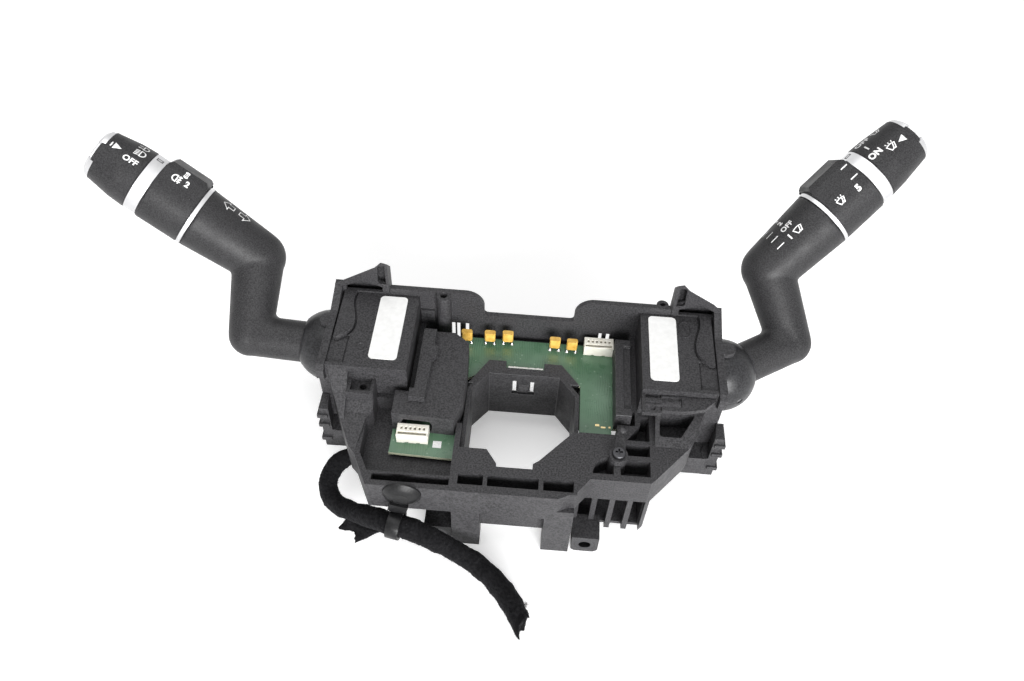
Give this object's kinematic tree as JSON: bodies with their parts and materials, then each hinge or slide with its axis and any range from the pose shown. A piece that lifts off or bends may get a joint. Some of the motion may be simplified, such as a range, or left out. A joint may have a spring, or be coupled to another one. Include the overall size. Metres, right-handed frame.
{
  "type": "combination stalk switch",
  "caption": "Steering column combination switch: open housing with a column passage and circuit board, two cranked levers with turning collars, turning caps and end buttons.",
  "frame": {"origin": "on the steering column's axis, in the plane of the housing's feet", "axes": "+Z along the column towards the driver, +X to the wiper lever's side, +Y to the upper side of the column"},
  "size_m": [0.3861, 0.2191, 0.1306],
  "materials": {
    "housing_black": "fine grain, matt",
    "lever_black": "soft-touch, fine speckle",
    "pivot_black": "smooth, low sheen",
    "inner_plastic": "natural",
    "satin_silver": "satin",
    "spring_steel": "bright",
    "label_white": "printed film, blank",
    "board_green": "solder resist",
    "connector_cream": "moulded",
    "capacitor_mustard": "dipped",
    "loom_fabric": "fleece tape"
  },
  "bodies": {
    "housing": {"main_housing": "housing_black", "column_sleeve": "housing_black", "circuit_board": "board_green", "board_connector_left": "connector_cream", "board_connector_right": "connector_cream", "capacitors": "capacitor_mustard", "inner_cover": "housing_black", "inner_bar": "housing_black", "fixing_bushes": "spring_steel", "screws": "spring_steel", "cable_clip": "housing_black", "loom": "loom_fabric", "loom_plug": "housing_black", "left_case": "housing_black", "left_lid": "housing_black", "left_label": "label_white", "left_contact_board": "inner_plastic", "left_plug_socket": "housing_black", "left_detent_track": "inner_plastic", "right_case": "housing_black", "right_lid": "housing_black", "right_label": "label_white", "right_contact_board": "inner_plastic", "right_plug_socket": "housing_black", "right_detent_track": "inner_plastic"},
    "left_pivot": {"left_ball_upper": "pivot_black", "left_ball_lower": "pivot_black", "left_cross_pin": "spring_steel"},
    "left_lever": {"left_lever_arm": "lever_black", "left_thin_ring": "satin_silver", "left_spindle": "lever_black", "left_wide_band": "satin_silver", "left_detent_spring": "spring_steel", "left_button_spring": "spring_steel"},
    "left_collar": {"left_turn_collar": "lever_black"},
    "left_cap": {"left_end_cap": "lever_black"},
    "left_button": {"left_end_button": "satin_silver"},
    "left_plunger": {"left_detent_plunger": "inner_plastic"},
    "right_pivot": {"right_ball_upper": "pivot_black", "right_ball_lower": "pivot_black", "right_cross_pin": "spring_steel"},
    "right_lever": {"right_lever_arm": "lever_black", "right_thin_ring": "satin_silver", "right_spindle": "lever_black", "right_wide_band": "satin_silver", "right_detent_spring": "spring_steel", "right_button_spring": "spring_steel"},
    "right_collar": {"right_turn_collar": "lever_black"},
    "right_cap": {"right_end_cap": "lever_black"},
    "right_button": {"right_end_button": "satin_silver"},
    "right_plunger": {"right_detent_plunger": "inner_plastic"}
  },
  "joints": [
    {"name": "left_lever_turn", "type": "hinge", "parent": "housing", "child": "left_pivot", "pos_m": [-0.092, 0.0318, 0.046], "axis": [0, 0, 1], "range_deg": [-10, 10]},
    {"name": "left_lever_flash", "type": "hinge", "parent": "left_pivot", "child": "left_lever", "pos_m": [-0.092, 0.0318, 0.046], "axis": [0.0203, 0.9998, 0], "range_deg": [-5, 6], "stiffness_Nm_per_rad": 8},
    {"name": "left_collar_turn", "type": "hinge", "parent": "left_lever", "child": "left_collar", "pos_m": [-0.1315, 0.064, 0.069], "axis": [-0.8218, 0.1747, 0.5423], "range_deg": [-30, 30]},
    {"name": "left_cap_turn", "type": "hinge", "parent": "left_lever", "child": "left_cap", "pos_m": [-0.1315, 0.064, 0.069], "axis": [-0.8218, 0.1747, 0.5423], "range_deg": [-20, 40]},
    {"name": "left_button_press", "type": "slide", "parent": "left_cap", "child": "left_button", "axis": [0.8218, -0.1747, -0.5423], "range_m": [0, 0.0012], "stiffness_N_per_m": 600},
    {"name": "left_plunger_slide", "type": "slide", "parent": "left_lever", "child": "left_plunger", "axis": [-0.9998, 0.0203, 0], "range_m": [0, 0.0012], "stiffness_N_per_m": 2000},
    {"name": "right_lever_wiper", "type": "hinge", "parent": "housing", "child": "right_pivot", "pos_m": [0.0913, 0.0318, 0.046], "axis": [0, 0, 1], "range_deg": [-28, 0]},
    {"name": "right_lever_wash", "type": "hinge", "parent": "right_pivot", "child": "right_lever", "pos_m": [0.0913, 0.0318, 0.046], "axis": [0.5022, -0.8648, 0], "range_deg": [0, 6], "stiffness_Nm_per_rad": 8},
    {"name": "right_collar_turn", "type": "hinge", "parent": "right_lever", "child": "right_collar", "pos_m": [0.1133, 0.0785, 0.072], "axis": [0.6617, 0.504, 0.5551], "range_deg": [-50, 20]},
    {"name": "right_cap_turn", "type": "hinge", "parent": "right_lever", "child": "right_cap", "pos_m": [0.1133, 0.0785, 0.072], "axis": [0.6617, 0.504, 0.5551], "range_deg": [-40, 20]},
    {"name": "right_button_press", "type": "slide", "parent": "right_cap", "child": "right_button", "axis": [-0.6617, -0.504, -0.5551], "range_m": [0, 0.0012], "stiffness_N_per_m": 600},
    {"name": "right_plunger_slide", "type": "slide", "parent": "right_lever", "child": "right_plunger", "axis": [0.8648, 0.5022, 0], "range_m": [0, 0.0012], "stiffness_N_per_m": 2000}
  ]
}
